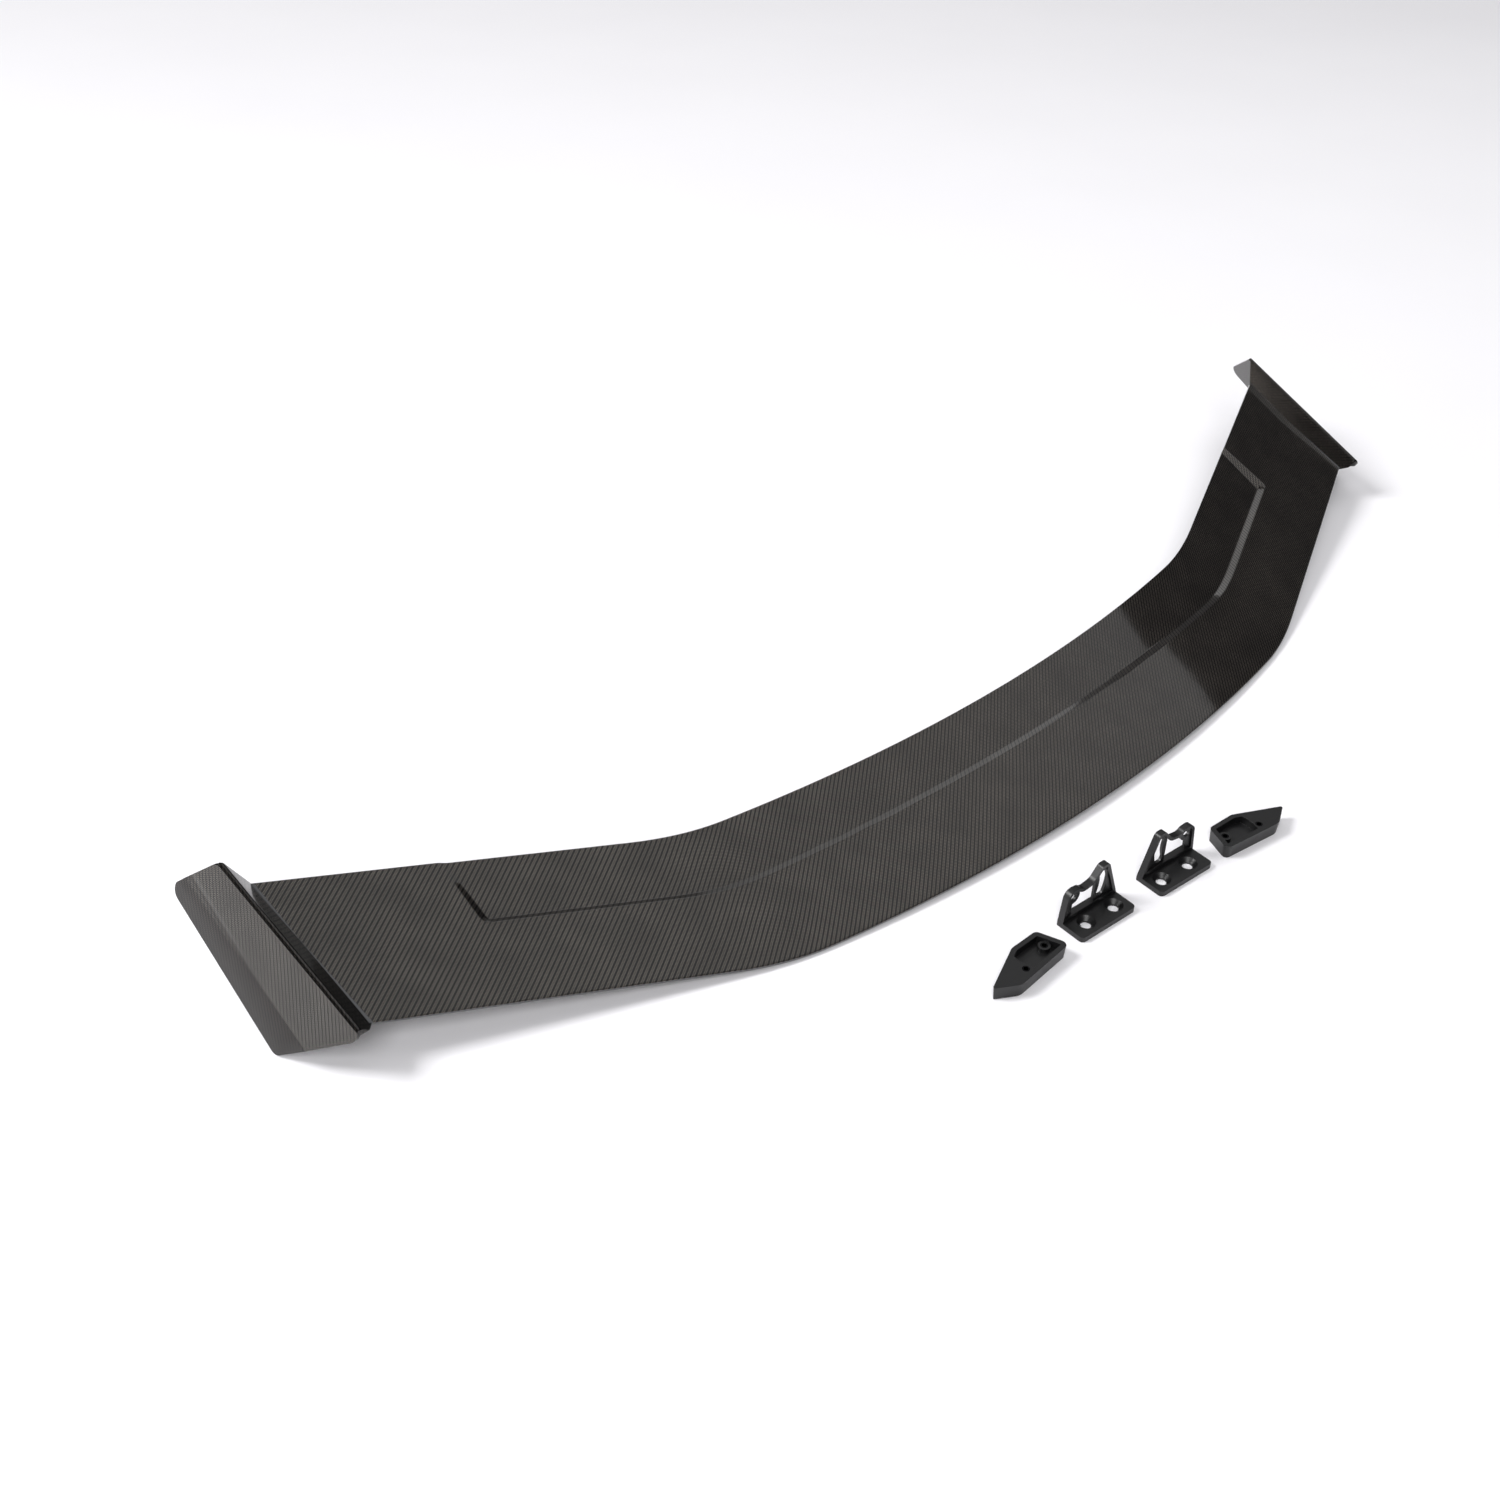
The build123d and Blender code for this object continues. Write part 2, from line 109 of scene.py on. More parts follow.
def carbonTwill(name, roughness=0.34, lift=0.9, gloss=1.42):
    # 2x2 twill of 1K carbon, its tows square to the piece's own map, under clear gloss resin; its colour
    # holds painted highlights on the tows' crowns, and warp tows are painted lighter than weft tows
    material, tree, shader = newMaterial(name)
    mapped = addNode(tree, "ShaderNodeUVMap", uv_map="cloth")
    turned = addNode(
        tree, "ShaderNodeMapping",
        {"Vector": mapped.outputs[0], "Scale": (1 / cloth["tow"],) * 3},
    )
    axes = addNode(tree, "ShaderNodeSeparateXYZ", {0: turned.outputs[0]})
    across, along = axes.outputs[0], axes.outputs[1]
    # the twill repeats every four tows, and each row steps one tow along
    column = calc(tree, "FLOOR", across)
    row = calc(tree, "FLOOR", along)
    phase = calc(tree, "FLOORED_MODULO", calc(tree, "SUBTRACT", column, row), 4.0)
    warpOnTop = calc(tree, "LESS_THAN", phase, 1.5)

    def crown(position):
        # height of a tow across its width, 0 at its edges
        offCentre = calc(tree, "SUBTRACT", calc(tree, "FRACT", position), 0.5)
        outward = calc(tree, "ABSOLUTE", calc(tree, "MULTIPLY", offCentre, 2.0))
        return calc(tree, "SUBTRACT", 1.0, calc(tree, "POWER", outward, 3.0))

    def dip(lengthwise, lane):
        # a tow floats over two others, and goes down between them at both ends
        onTop = calc(tree, "FLOORED_MODULO", calc(tree, "SUBTRACT", lengthwise, lane), 4.0)
        shareAlong = calc(tree, "FRACT", calc(tree, "MULTIPLY", onTop, 0.5))
        return calc(tree, "SINE", calc(tree, "MULTIPLY", shareAlong, math.pi))

    warpHeight = calc(tree, "MULTIPLY", crown(across), blend(tree, dip(along, column), cloth["warpDip"], 1.0))
    weftHeight = calc(tree, "MULTIPLY", crown(along), blend(tree, dip(across, row), cloth["weftDip"], 1.0))
    height = addNode(
        tree, "ShaderNodeMix", {0: warpOnTop, 2: weftHeight, 3: warpHeight}, data_type="FLOAT"
    ).outputs[0]

    def drawnOut(acrossScale, alongScale):
        wide = calc(tree, "MULTIPLY", across, acrossScale)
        long = calc(tree, "MULTIPLY", along, alongScale)
        return addNode(tree, "ShaderNodeCombineXYZ", {0: wide, 1: long}).outputs[0]

    # fine fibres run along whichever tow is on top
    fine, drawn = cloth["fibreAcross"], cloth["fibreAlong"]
    fibres = addNode(
        tree, "ShaderNodeMix",
        {0: warpOnTop, 4: drawnOut(drawn, fine), 5: drawnOut(fine, drawn)},
        data_type="VECTOR",
    )
    strand = addNode(
        tree, "ShaderNodeTexNoise", {"Vector": fibres.outputs[1], "Scale": 1.0, "Detail": 2.0}
    ).outputs[0]
    # painted sheen: the tow's colour is lightened towards its crown, as a painted highlight
    paintedSheen = calc(tree, "MULTIPLY", calc(tree, "POWER", height, 2.6), blend(tree, strand, 0.35, 1.0))
    # broad unevenness in the painted sheen, its strength set by lift
    patch = addNode(
        tree, "ShaderNodeTexNoise", {"Vector": turned.outputs[0], "Scale": cloth["patch"], "Detail": 1.0}
    ).outputs[0]
    paintedSheen = calc(tree, "MULTIPLY", paintedSheen, blend(tree, patch, 0.55 * lift, 1.35 * lift))

    # base colour with painted highlights on the crowns, and warp tows painted lighter than weft tows
    warpColour = colourMix(tree, paintedSheen, linear(cloth["warp"]), linear(cloth["fibre"]))
    weftColour = colourMix(tree, paintedSheen, linear(cloth["weft"]), linear(cloth["weftHighlight"]))
    tows = colourMix(tree, warpOnTop, weftColour, warpColour)
    edge = calc(tree, "LESS_THAN", height, cloth["gapBelow"])
    tree.links.new(colourMix(tree, edge, tows, linear(cloth["resin"])), shader.inputs["Base Color"])
    tree.links.new(blend(tree, strand, roughness - 0.06, roughness + 0.1), shader.inputs["Roughness"])
    bump = addNode(tree, "ShaderNodeBump", {"Height": height, "Strength": 0.3, "Distance": 0.08 * mm})
    tree.links.new(bump.outputs[0], shader.inputs["Normal"])
    shader.inputs["Metallic"].default_value = 1.0  # the bare fibres mirror like a dark metal
    shader.inputs["Coat Weight"].default_value = 1.0
    shader.inputs["Coat IOR"].default_value = gloss
    shader.inputs["Coat Roughness"].default_value = 0.05
    # the lacquer's own faint ripple over the cloth
    ripple = addNode(
        tree, "ShaderNodeTexNoise", {"Vector": turned.outputs[0], "Scale": cloth["ripple"], "Detail": 1.0}
    )
    rippleBump = addNode(
        tree, "ShaderNodeBump", {"Height": ripple.outputs[0], "Strength": 0.12, "Distance": 0.1 * mm}
    )
    tree.links.new(rippleBump.outputs[0], shader.inputs["Coat Normal"])
    return material


def speckled(name, dark, light, grain, roughness, bumpDepth=0.03, metal=0.0, coat=0.0):
    # moulded, cast or turned surface: two close tones in fine grain, with wear in the roughness
    material, tree, shader = newMaterial(name)
    place = addNode(tree, "ShaderNodeTexCoord").outputs["Object"]

    def grainAt(scale, detail):
        return addNode(
            tree, "ShaderNodeTexNoise", {"Vector": place, "Scale": scale, "Detail": detail}
        ).outputs[0]

    fine = grainAt(1 / grain, 3.0)
    broad = grainAt(0.04 / grain, 2.0)
    tone = calc(tree, "MULTIPLY_ADD", fine, 0.6, calc(tree, "MULTIPLY", broad, 0.4))
    tree.links.new(colourMix(tree, tone, linear(dark), linear(light)), shader.inputs["Base Color"])
    tree.links.new(blend(tree, broad, roughness - 0.08, roughness + 0.08), shader.inputs["Roughness"])
    bump = addNode(tree, "ShaderNodeBump", {"Height": fine, "Strength": 0.3, "Distance": bumpDepth * mm})
    tree.links.new(bump.outputs[0], shader.inputs["Normal"])
    shader.inputs["Metallic"].default_value = metal
    shader.inputs["Coat Weight"].default_value = coat
    return material


# the blade: a fine diagonal weave, grey from painted sheen on its tows, seen through a clear shine
bladeCloth = carbonTwill("carbonTwillGloss")
# the end plates: the same weave, darker by a weaker painted sheen, and with a narrower shine
plateCloth = carbonTwill("carbonTwillPlates", roughness=0.22, lift=0.42, gloss=1.36)
# near-black and wet-looking, in the seams between the skins
edgeResin = speckled("curedGlossResin", "#101014", "#1d1d22", 0.8 * mm, 0.18, coat=1.0)
# moulded black with a soft, slightly grainy sheen
satinNylon = speckled("satinBlackGlassNylon", "#070708", "#0f0f10", 0.35 * mm, 0.4)
# dark metal that catches the light in thin rings
blackenedSteel = speckled("blackOxideTurnedSteel", "#141414", "#242426", 0.4 * mm, 0.36, metal=1.0)
# bright grey metal down in the bolt holes
turnedSteel = speckled("zincPlatedTurnedSteel", "#84868a", "#b9bbbe", 0.4 * mm, 0.32, metal=1.0)
# pale, dry and matt, rough where it was sawn
sawnFoam = speckled("closedCellFoamSawn", "#b5a986", "#d9cfae", 0.7 * mm, 0.85, bumpDepth=0.2)
# dull olive-brown, like cut circuit board
laminateBlock = speckled("machinedGlassLaminate", "#5a5138", "#7d7252", 0.5 * mm, 0.6)
print("materials made")


# the blade is laid out flat, then bent to the wing's curve by one node tree
blade = {
    "halfSpan": 650.0, "kinkX": 338.0, "kinkEase": 40.0,
    "bowY": 36.5, "bowZ": -2.5, "sweepY": 142.0, "riseZ": 39.8,
    "chord": 142.5, "incidenceCentre": 19.3, "incidenceKink": 20.0, "incidenceTip": 21.3,
    "noseY": 19.1, "noseZ": 50.498,
    "trailing": 4.5, "noseAbove": 3.0, "noseBelow": 1.5, "belly": 14.0, "bellyShift": 0.35, "hollow": 1.4,
    "skin": 1.2, "overrun": 710.0, "spanStep": 6.0,
    "ridgeCentre": 0.596, "ridgeKink": 0.55, "recessX": 512.0, "recessWall": 7.0,
    "recessDepth": 5.0, "recessDepthNose": 1.8, "wallChord": 7.0, "softening": 0.7,
    "bondTrailing": 16.0, "bondLeading": 11.0, "bondInset": 0.02,  # inset: how far inside the skins' edges
    "ridgeFrom": 74, "ridgeStep": 0.7, "ridgeSteps": 36, "chordSteps": 26,  # the mesh across the chord
    "wallBefore": 2, "wallStep": 0.9, "wallSteps": 18,  # the mesh along the span, at the recess's ends
}


def bentTree():
    # sets each point (x, -distance behind the nose, height) on the wing's bowed and swept line
    tree = bpy.data.node_groups.new("bendAlongWing", "GeometryNodeTree")
    tree.interface.new_socket("Geometry", in_out="INPUT", socket_type="NodeSocketGeometry")
    for name in ("Half Span", "Kink At", "Kink Ease", "Bow Forward", "Bow Up", "Sweep Forward", "Tip Rise",
                 "Incidence Centre", "Incidence Kink", "Incidence Tip", "Nose Y", "Nose Z"):
        tree.interface.new_socket(name, in_out="INPUT", socket_type="NodeSocketFloat")
    tree.interface.new_socket("Finish", in_out="INPUT", socket_type="NodeSocketMaterial")
    tree.interface.new_socket("Geometry", in_out="OUTPUT", socket_type="NodeSocketGeometry")
    given = addNode(tree, "NodeGroupInput").outputs

    def do(operation, first, second=0.0, third=0.0):
        return calc(tree, operation, first, second, third)

    position = addNode(tree, "GeometryNodeInputPosition").outputs[0]
    place = addNode(tree, "ShaderNodeSeparateXYZ", {0: position}).outputs
    outward = do("ABSOLUTE", place[0])
    reach = do("DIVIDE", outward, given["Kink At"])
    beyond = do("SUBTRACT", outward, given["Kink At"])
    outerLength = do("SUBTRACT", given["Half Span"], given["Kink At"])
    pastKink = do("GREATER_THAN", beyond, 0.0)
    ease = do("MAXIMUM", 0.0, do("SUBTRACT", 1.0, do("DIVIDE", do("ABSOLUTE", beyond), given["Kink Ease"])))
    easeSquared = do("MULTIPLY", ease, ease)

    def offset(inner, outer):
        slopeIn = do("DIVIDE", do("MULTIPLY", inner, 2.0), given["Kink At"])
        slopeOut = do("DIVIDE", outer, outerLength)
        bowed = do("MULTIPLY", inner, do("MULTIPLY", reach, reach))
        straight = do("MULTIPLY_ADD", slopeOut, beyond, inner)
        line = addNode(
            tree, "ShaderNodeMix", {0: pastKink, 2: bowed, 3: straight}, data_type="FLOAT"
        ).outputs[0]
        corner = do("MULTIPLY", do("MULTIPLY", do("SUBTRACT", slopeOut, slopeIn), given["Kink Ease"]), 0.25)
        return do("MULTIPLY_ADD", corner, easeSquared, line)

    def incidenceAt():
        gainedInside = do("SUBTRACT", given["Incidence Kink"], given["Incidence Centre"])
        gainedOutside = do("SUBTRACT", given["Incidence Tip"], given["Incidence Kink"])
        inner = do("MULTIPLY_ADD", gainedInside, reach, given["Incidence Centre"])
        outer = do("MULTIPLY_ADD", gainedOutside, do("DIVIDE", beyond, outerLength), given["Incidence Kink"])
        return addNode(
            tree, "ShaderNodeMix", {0: pastKink, 2: inner, 3: outer}, data_type="FLOAT"
        ).outputs[0]

    turn = incidenceAt()
    cosine, sine = do("COSINE", turn), do("SINE", turn)
    y = do("ADD", do("ADD", given["Nose Y"], offset(given["Bow Forward"], given["Sweep Forward"])),
           do("SUBTRACT", do("MULTIPLY", place[1], cosine), do("MULTIPLY", place[2], sine)))
    z = do("ADD", do("ADD", given["Nose Z"], offset(given["Bow Up"], given["Tip Rise"])),
           do("ADD", do("MULTIPLY", place[1], sine), do("MULTIPLY", place[2], cosine)))
    bent = addNode(tree, "ShaderNodeCombineXYZ", {0: place[0], 1: y, 2: z}).outputs[0]
    moved = addNode(tree, "GeometryNodeSetPosition", {"Geometry": given["Geometry"], "Position": bent})
    real = addNode(tree, "GeometryNodeRealizeInstances", {"Geometry": moved.outputs[0]})
    coated = addNode(
        tree, "GeometryNodeSetMaterial", {"Geometry": real.outputs[0], "Material": given["Finish"]}
    )
    addNode(tree, "NodeGroupOutput", {0: coated.outputs[0]})
    return tree


def baked(thing):
    # the piece's evaluated shape as a plain mesh, its modifiers gone
    bpy.context.view_layer.update()
    mesh = bpy.data.meshes.new_from_object(thing.evaluated_get(bpy.context.evaluated_depsgraph_get()))
    thing.modifiers.clear()
    thing.data = mesh
    return thing


def bend(thing, tree, finish):
    modifier = thing.modifiers.new("bendAlongWing", "NODES")
    modifier.node_group = tree
    sizes = {
        "Half Span": blade["halfSpan"] * mm,
        "Kink At": blade["kinkX"] * mm, "Kink Ease": blade["kinkEase"] * mm,
        "Bow Forward": blade["bowY"] * mm, "Bow Up": blade["bowZ"] * mm,
        "Sweep Forward": blade["sweepY"] * mm, "Tip Rise": blade["riseZ"] * mm,
        "Incidence Centre": math.radians(blade["incidenceCentre"]),
        "Incidence Kink": math.radians(blade["incidenceKink"]),
        "Incidence Tip": math.radians(blade["incidenceTip"]),
        "Nose Y": blade["noseY"] * mm, "Nose Z": blade["noseZ"] * mm, "Finish": finish,
    }
    for socket in tree.interface.items_tree:
        if socket.item_type == "SOCKET" and socket.name in sizes:
            modifier[socket.identifier] = sizes[socket.name]
    return baked(thing)


def easedRamp(low, high, value, radius):
    # 0 to 1 in a straight slope, with both of its corners rounded
    def eased(past):
        if past <= -radius:
            return 0.0
        return past if past >= radius else (past + radius) ** 2 / (4 * radius)
    return (eased(value - low) - eased(value - high)) / (high - low)


def topHeight(x, back):
    # height of the blade's top above the chord line, at a distance ahead of the trailing edge
    chord, soft = blade["chord"], blade["softening"]
    share = back / chord
    side = 1 - easedRamp(blade["recessX"], blade["recessX"] + blade["recessWall"], abs(x), soft)
    reach = min(1.0, abs(x) / blade["kinkX"])
    ridge = chord * (blade["ridgeCentre"] + (blade["ridgeKink"] - blade["ridgeCentre"]) * reach ** 2)
    wallEnd = ridge + blade["wallChord"]
    flat = blade["trailing"] * (1 - share) + blade["noseAbove"] * share
    hollowAt = min(back / ridge, (chord - back) / (chord - wallEnd), 1.0)
    if back < ridge:
        hollowAt = math.sin(hollowAt * math.pi / 2) ** 2
    hollow = blade["hollow"] * hollowAt
    drop = easedRamp(ridge, wallEnd, back, soft)
    fade = min(1.0, max(0.0, (back - wallEnd) / (chord - wallEnd)))
    depth = blade["recessDepth"] + (blade["recessDepthNose"] - blade["recessDepth"]) * fade
    return flat - hollow - side * drop * depth


def bottomHeight(back):
    share = back / blade["chord"]
    bulge = blade["belly"] * 4 * share * (1 - share) * (1 + blade["bellyShift"] * (2 * share - 1))
    return -bulge - blade["noseBelow"] * share


def chordSteps(start, end):
    # distances ahead of the trailing edge, closer together at the ridge
    near = [blade["ridgeFrom"] + blade["ridgeStep"] * n for n in range(blade["ridgeSteps"])]
    coarse = [start + (end - start) * n / blade["chordSteps"] for n in range(blade["chordSteps"] + 1)]
    return sorted({round(s, 2) for s in near + coarse if start <= s <= end})


def spanSteps():
    count = int(blade["overrun"] / blade["spanStep"])
    half = {round(blade["overrun"] * n / count, 2) for n in range(count + 1)}
    start = blade["recessX"] - blade["wallBefore"]
    half |= {start + blade["wallStep"] * n for n in range(blade["wallSteps"])}
    return sorted({-x for x in half} | half)


def laidOut(name, outline):
    # closed shell from one outline per station: outline(x) is a loop of (distance ahead, height)
    stations = spanSteps()
    loops = [outline(x) for x in stations]
    size = len(loops[0])
    verts = [
        (x * mm, (ahead - blade["chord"]) * mm, height * mm)
        for x, loop in zip(stations, loops) for ahead, height in loop
    ]
    faces = []
    for i in range(len(stations) - 1):
        for j in range(size):
            k = (j + 1) % size
            faces.append((i * size + j, i * size + k, (i + 1) * size + k, (i + 1) * size + j))
    mesh = bpy.data.meshes.new(name)
    mesh.from_pydata(verts, [], faces)
    cloths = mesh.uv_layers.new(name="cloth")
    girth = [0.0]
    for (a0, h0), (a1, h1) in zip(loops[0], loops[0][1:]):
        girth.append(girth[-1] + math.hypot(a1 - a0, h1 - h0))
    for loop in mesh.loops:
        station, along = divmod(loop.vertex_index, size)
        cloths.data[loop.index].uv = (arcAlong(stations[station]) * mm, girth[along] * mm)
    thing = bpy.data.objects.new(name, mesh)
    scene.collection.objects.link(thing)
    return thing


def arcAlong(x):
    # length along the wing's line from its middle, so the cloth isn't stretched
    kink, outer = blade["kinkX"], max(0.0, abs(x) - blade["kinkX"])
    inner = min(abs(x), kink)
    bowed = inner + 2 * (blade["bowY"] / kink ** 2) ** 2 * inner ** 3 / 3
    sweep = blade["sweepY"] / (blade["halfSpan"] - kink)
    return math.copysign(bowed + outer * math.hypot(1, sweep), x)


corner = blade["skin"]  # radius of the trailing edge's two corners
cornerTurns = [(1 - math.cos(math.radians(a)), math.sin(math.radians(a))) for a in (0, 18, 36, 54, 72, 90)]


def upperOutline(x):
    outer = [(corner * run, topHeight(x, 0) - corner + corner * rise) for run, rise in cornerTurns]
    outer += [(ahead, topHeight(x, ahead)) for ahead in chordSteps(corner + 1, blade["chord"])]
    inner = [(ahead, topHeight(x, ahead) - blade["skin"]) for ahead in chordSteps(corner + 1, blade["chord"])]
    return outer + inner[::-1]


def lowerOutline(x):
    inner = [(ahead, bottomHeight(ahead) + blade["skin"]) for ahead in chordSteps(corner + 1, blade["chord"])]
    outer = [(ahead, bottomHeight(ahead)) for ahead in chordSteps(corner + 1, blade["chord"])]
    rounded = [(corner * run, corner - corner * rise) for run, rise in cornerTurns[::-1]]
    return inner + outer[::-1] + rounded


def bondOutline(start, end):
    def outline(x):
        steps = [start + (end - start) * n / 6 for n in range(7)]
        top = [(s, topHeight(x, s) - blade["skin"]) for s in steps]
        low = [(s, bottomHeight(s) + blade["skin"]) for s in steps]
        return top + low[::-1]
    return outline


# the end plates are placed from the blade's tip; stand is how far inside them the blade is cut off
plate = {
    "lipFront": (0.0, -160.0, -42.5), "lipBack": (11.5, 9.0, 24.5), "foot": (42.0, -87.0), "footRise": -0.2,
    "stand": 21.0, "edge": 0.5,
}


def plateFrame(sign):
    # lip's front corner, direction along the lip, outward normal
    tip = Vector((
        blade["halfSpan"],
        blade["noseY"] + blade["bowY"] + blade["sweepY"],
        blade["noseZ"] + blade["bowZ"] + blade["riseZ"],
    ))
    front, back = tip + Vector(plate["lipFront"]), tip + Vector(plate["lipBack"])
    foot = Vector((tip.x + plate["foot"][0], tip.y + plate["foot"][1], plate["footRise"]))
    along = (back - front).normalized()
    outward = (foot - front).cross(back - front).normalized()
    flip = Vector((sign, 1, 1))
    return front * flip * mm, along * flip, outward * flip


def cutEnds(thing):
    # cuts a blade piece off just inside both end plates and closes the cut
    work = bmesh.new()
    work.from_mesh(thing.data)
    for sign in (1, -1):
        front, _, outward = plateFrame(sign)
        geometry = work.verts[:] + work.edges[:] + work.faces[:]
        place = front - outward * (plate["stand"] * mm)
        bmesh.ops.bisect_plane(work, geom=geometry, plane_co=place, plane_no=outward, clear_outer=True)
        rim = [e for e in work.edges if e.is_boundary]
        bmesh.ops.edgeloop_fill(work, edges=rim)
    bmesh.ops.remove_doubles(work, verts=work.verts[:], dist=1e-7)
    bmesh.ops.triangulate(work, faces=[f for f in work.faces if len(f.verts) > 4])
    bmesh.ops.recalc_face_normals(work, faces=work.faces[:])
    work.to_mesh(thing.data)
    work.free()
    return thing


def shadeByAngle(thing, degrees=30, foldDegrees=None):
    # smooth faces, sharp at steep edges, and at shallow folds between two broad faces
    broad = 3e-4  # square metres
    work = bmesh.new()
    work.from_mesh(thing.data)
    for face in work.faces:
        face.smooth = True
    for edge in work.edges:
        if len(edge.link_faces) == 2:
            turn = math.degrees(edge.calc_face_angle(0.0))
            fold = foldDegrees and turn > foldDegrees and min(f.calc_area() for f in edge.link_faces) > broad
            edge.smooth = turn < degrees and not fold
    work.to_mesh(thing.data)
    work.free()
    even = thing.modifiers.new("evenNormals", "WEIGHTED_NORMAL")
    even.keep_sharp = True
    baked(thing)


def stands(thing, body, slotName, *nodes):
    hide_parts(*nodes)
    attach(thing, body)


mouths = {"x": 230.0, "middle": 0.475, "pitch": 32.7, "radius": 6.5}  # middle is a share of the chord


def openMouths(thing):
    # round holes through the lower skin where the brackets' bolts enter
    share = mouths["middle"]
    gained = (blade["incidenceKink"] - blade["incidenceCentre"]) * mouths["x"] / blade["kinkX"]
    slope = math.radians(blade["incidenceCentre"] + gained)
    reach = (mouths["x"] / blade["kinkX"]) ** 2
    for sign in (-1, 1):
        for step in (-0.5, 0.5):
            ahead = share * blade["chord"] + step * mouths["pitch"]
            back, height = ahead - blade["chord"], bottomHeight(ahead)
            place = Vector((
                sign * mouths["x"],
                blade["noseY"] + blade["bowY"] * reach + back * math.cos(slope) - height * math.sin(slope),
                blade["noseZ"] + blade["bowZ"] * reach + back * math.sin(slope) + height * math.cos(slope),
            )) * mm
            radius = mouths["radius"] * mm
            stood = Matrix.Translation(place) @ Matrix.Rotation(slope, 4, "X")
            work = bmesh.new()
            bmesh.ops.create_cone(
                work, cap_ends=True, segments=40, radius1=radius, radius2=radius, depth=5 * mm, matrix=stood
            )
            mesh = bpy.data.meshes.new("drill")
            work.to_mesh(mesh)
            work.free()
            drill = bpy.data.objects.new("drill", mesh)
            scene.collection.objects.link(drill)
            cut = thing.modifiers.new("mouth", "BOOLEAN")
            cut.operation, cut.solver, cut.object = "DIFFERENCE", "EXACT", drill
            baked(thing)
            bpy.data.objects.remove(drill)


wingBend = bentTree()
trailingOutline = bondOutline(blade["bondInset"], blade["bondTrailing"])
leadingOutline = bondOutline(blade["chord"] - blade["bondLeading"], blade["chord"] - blade["bondInset"])
for name, outline, finish, slotName, node in (
    ("upperSkin", upperOutline, bladeCloth, "carbon", "upper_skin"),
    ("lowerSkin", lowerOutline, bladeCloth, "carbon", "lower_skin"),
    ("trailingBond", trailingOutline, edgeResin, "adhesive", "trailing_edge_bond"),
    ("leadingBond", leadingOutline, edgeResin, "adhesive", "leading_edge_bond"),
):
    piece = laidOut(name, outline)
    piece = cutEnds(bend(piece, wingBend, finish))
    if name == "lowerSkin":
        openMouths(piece)
    shadeByAngle(piece, 35)
    stands(piece, "wing", slotName, node)
    print("blade piece", name, len(piece.data.polygons))


def softened(name, node, finish, width, angle=30, joinAngle=0.6):
    # the CAD shape with its edges softened
    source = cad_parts[node]
    work = bmesh.new()
    work.from_mesh(source.data)
    bmesh.ops.remove_doubles(work, verts=work.verts[:], dist=2e-6)
    flat = math.radians(joinAngle)
    bmesh.ops.dissolve_limit(work, angle_limit=flat, verts=work.verts[:], edges=work.edges[:])
    mesh = bpy.data.meshes.new(name)
    work.to_mesh(mesh)
    work.free()
    mesh.materials.append(finish)
    thing = bpy.data.objects.new(name, mesh)
    scene.collection.objects.link(thing)
    bevel = thing.modifiers.new("softEdges", "BEVEL")
    bevel.width = width * mm
    bevel.segments = 2
    bevel.limit_method = "ANGLE"
    bevel.angle_limit = math.radians(angle)
    bevel.use_clamp_overlap = True
    return baked(thing)


def clothOn(thing, sign):
    # lays the cloth over a folded plate: along its lip, and square to that on each face
    front, along, outward = plateFrame(sign)
    mesh = thing.data
    cloths = mesh.uv_layers.new(name="cloth")
    for face in mesh.polygons:
        across = face.normal.cross(along)
        across = across.normalized() if across.length > 0.1 else outward
        for index in face.loop_indices:
            point = mesh.vertices[mesh.loops[index].vertex_index].co - front
            cloths.data[index].uv = (point.dot(along), sign * point.dot(across))


for side, sign in (("Left", -1), ("Right", 1)):
    node = "end_plate_" + side.lower()
    piece = softened("endPlate" + side, node, plateCloth, plate["edge"], angle=40)
    clothOn(piece, sign)
    shadeByAngle(piece, 50, foldDegrees=4)
    stands(piece, "wing", "carbon", node)

hardware = {"bracketEdge": 0.5, "coverEdge": 0.7}
for side in ("Left", "Right"):
    low = side.lower()
    bracket = softened("bracket" + side, "bracket_" + low, satinNylon, hardware["bracketEdge"])
    shadeByAngle(bracket, 50)
    stands(bracket, "bracket_" + low, "moulded", "bracket_" + low)
    cover = softened("bracketCover" + side, "bracket_cover_" + low, satinNylon, hardware["coverEdge"])
    shadeByAngle(cover, 50)
    stands(cover, "cover_" + low, "moulded", "bracket_cover_" + low)

keptFinishes = {
    "cover_inserts_": blackenedSteel, "threaded_inserts_": turnedSteel, "closing_rib_": edgeResin,
    "mounting_block_": laminateBlock, "foam_core_": sawnFoam,
}
for node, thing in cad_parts.items():
    for start, finish in keptFinishes.items():
        if node.startswith(start):
            thing.data.materials.clear()
            thing.data.materials.append(finish)
print("plates and hardware finished")


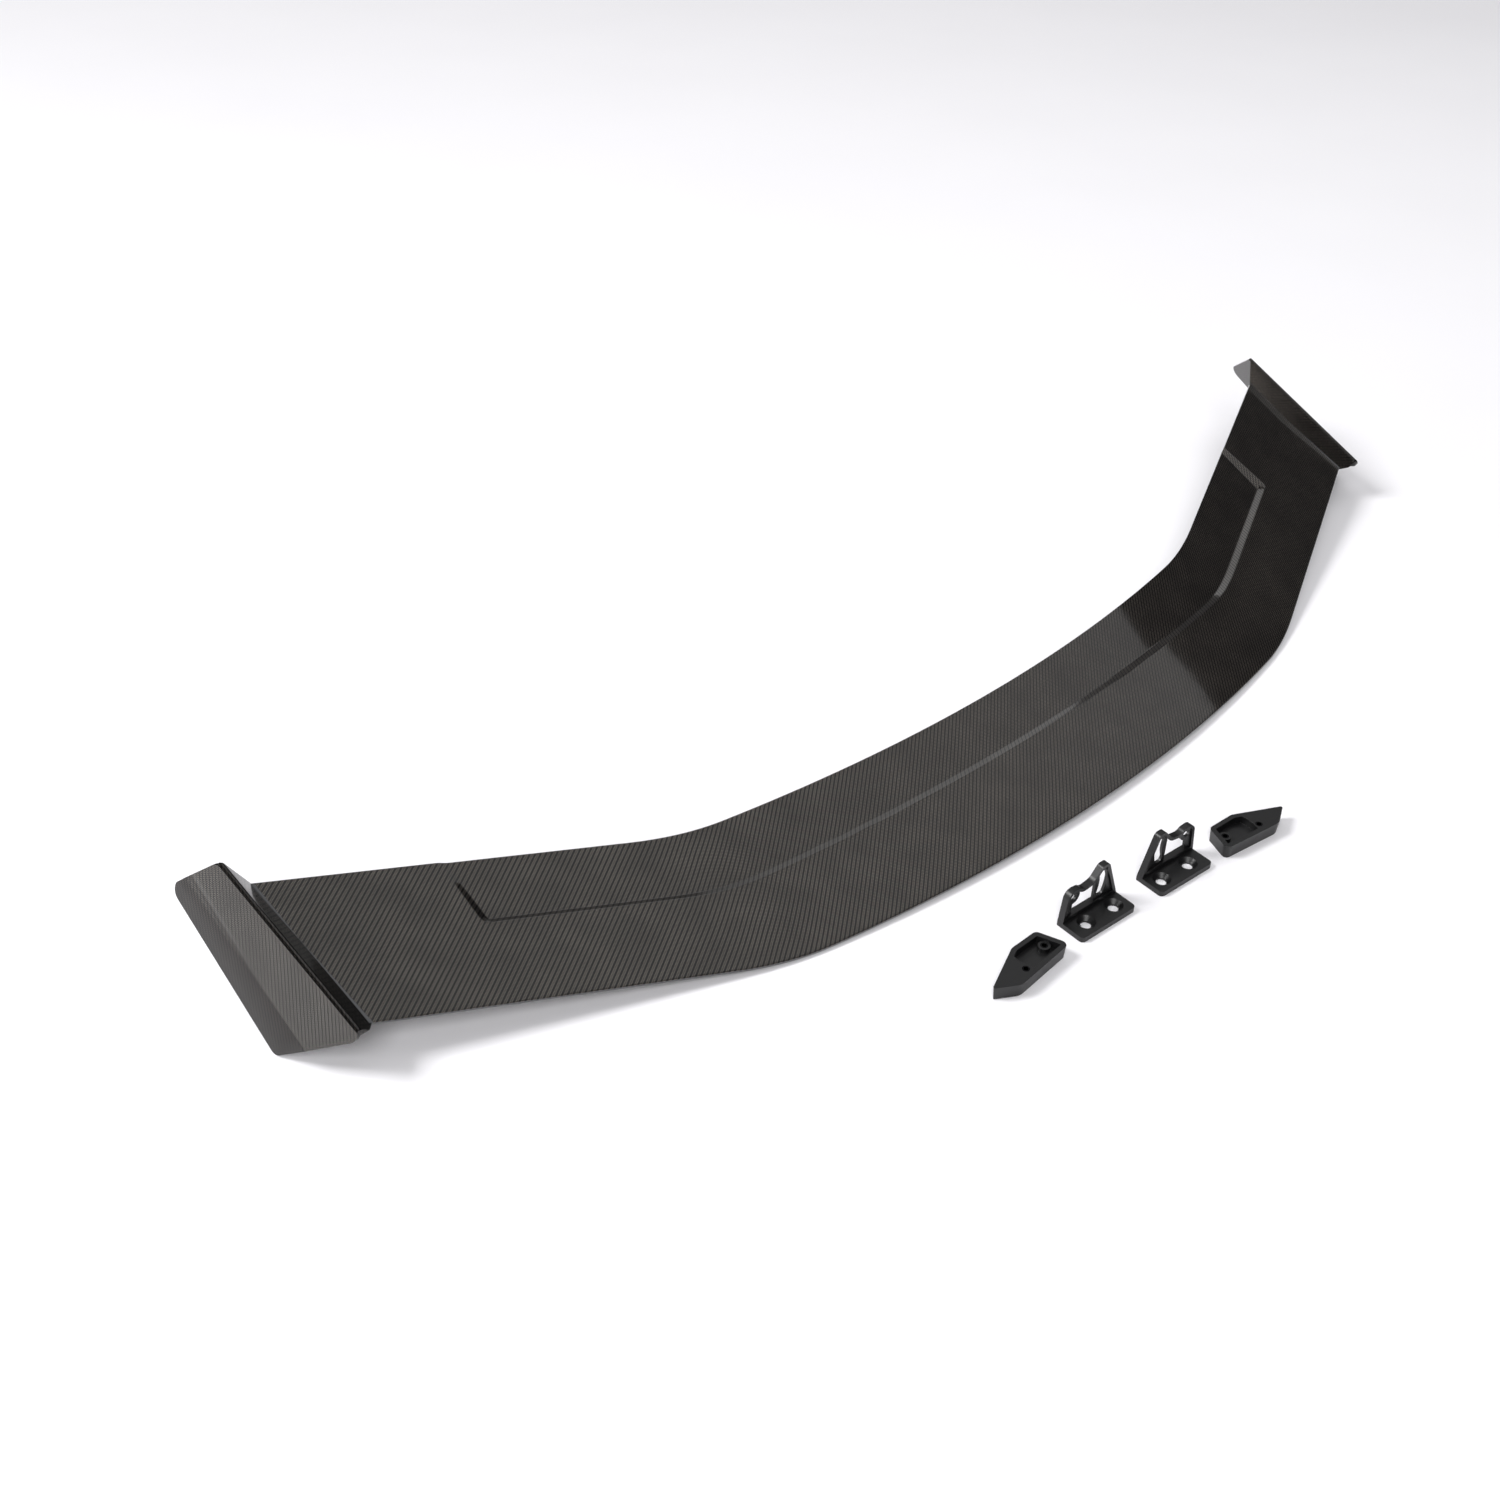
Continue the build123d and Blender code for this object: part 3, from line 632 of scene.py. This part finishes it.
def plainFloor():
    # almost white and matt, so the shadows stay soft
    material, tree, shader = newMaterial("paintedStudioFloor")
    place = addNode(tree, "ShaderNodeTexCoord").outputs["Object"]
    mottle = addNode(tree, "ShaderNodeTexNoise", {"Vector": place, "Scale": 3.0}).outputs[0]
    tree.links.new(colourMix(tree, mottle, linear("#f2f1f4"), linear("#f6f5f8")), shader.inputs["Base Color"])
    shader.inputs["Roughness"].default_value = 0.8
    mesh = bpy.data.meshes.new("floor")
    mesh.from_pydata([(-6, -6, 0), (6, -6, 0), (6, 6, 0), (-6, 6, 0)], [], [(0, 1, 2, 3)])
    mesh.materials.append(material)
    thing = bpy.data.objects.new("floor", mesh)
    thing.location.z = -0.2 * mm  # just clear of the faces that rest on it
    scene.collection.objects.link(thing)


def softbox(name, place, target, size, power):
    data = bpy.data.lights.new(name, "AREA")
    data.shape = "RECTANGLE"
    data.size, data.size_y = size
    data.energy = power
    thing = bpy.data.objects.new(name, data)
    thing.location = place
    thing.rotation_euler = (Vector(target) - Vector(place)).to_track_quat("-Z", "Y").to_euler()
    scene.collection.objects.link(thing)


plainFloor()
world = bpy.data.worlds.new("studio")
world.use_nodes = True
world.node_tree.nodes["Background"].inputs[0].default_value = linear("#f1eff8")
world.node_tree.nodes["Background"].inputs[1].default_value = 0.06
scene.world = world
lamps = {  # place, what it points at, size, watts
    "overhead": ((1.4, 0.1, 2.5), (1.4, 0.1, 0), (3.8, 2.3), 26),
    "keyFromLeft": ((-4.0, 3.2, 5.0), (0, 0, 0), (2.4, 2.4), 400),
    "fillBehindCamera": ((-4.0, -3.5, 5.0), (0, 0, 0), (4.0, 4.0), 330),
    "leftCard": ((-2.7, 0.75, 0.36), (-0.67, 0.1, 0.1), (2.2, 0.68), 12),
    "farWash": ((3.5, 5.6, 3.4), (3.2, 3.6, 0), (5.0, 4.0), 60),
}
for name, (place, target, size, power) in lamps.items():
    softbox(name, place, target, size, power)

viewpoint = {"lens": 41.33, "place": (-1.0191, -0.7867, 0.9724), "azimuth": -42.0, "elevation": 37.6}
camera = bpy.data.objects.new("camera", bpy.data.cameras.new("camera"))
camera.data.lens = viewpoint["lens"]
camera.data.sensor_width = 36.0
camera.location = viewpoint["place"]
azimuth, elevation = math.radians(viewpoint["azimuth"]), math.radians(viewpoint["elevation"])
backward = Vector((
    math.sin(azimuth) * math.cos(elevation), -math.cos(azimuth) * math.cos(elevation), math.sin(elevation)
))
camera.rotation_euler = (-backward).to_track_quat("-Z", "Y").to_euler()
camera.data.clip_start = 0.05
scene.collection.objects.link(camera)
scene.camera = camera
scene.view_settings.view_transform = "Standard"
print("stage set")
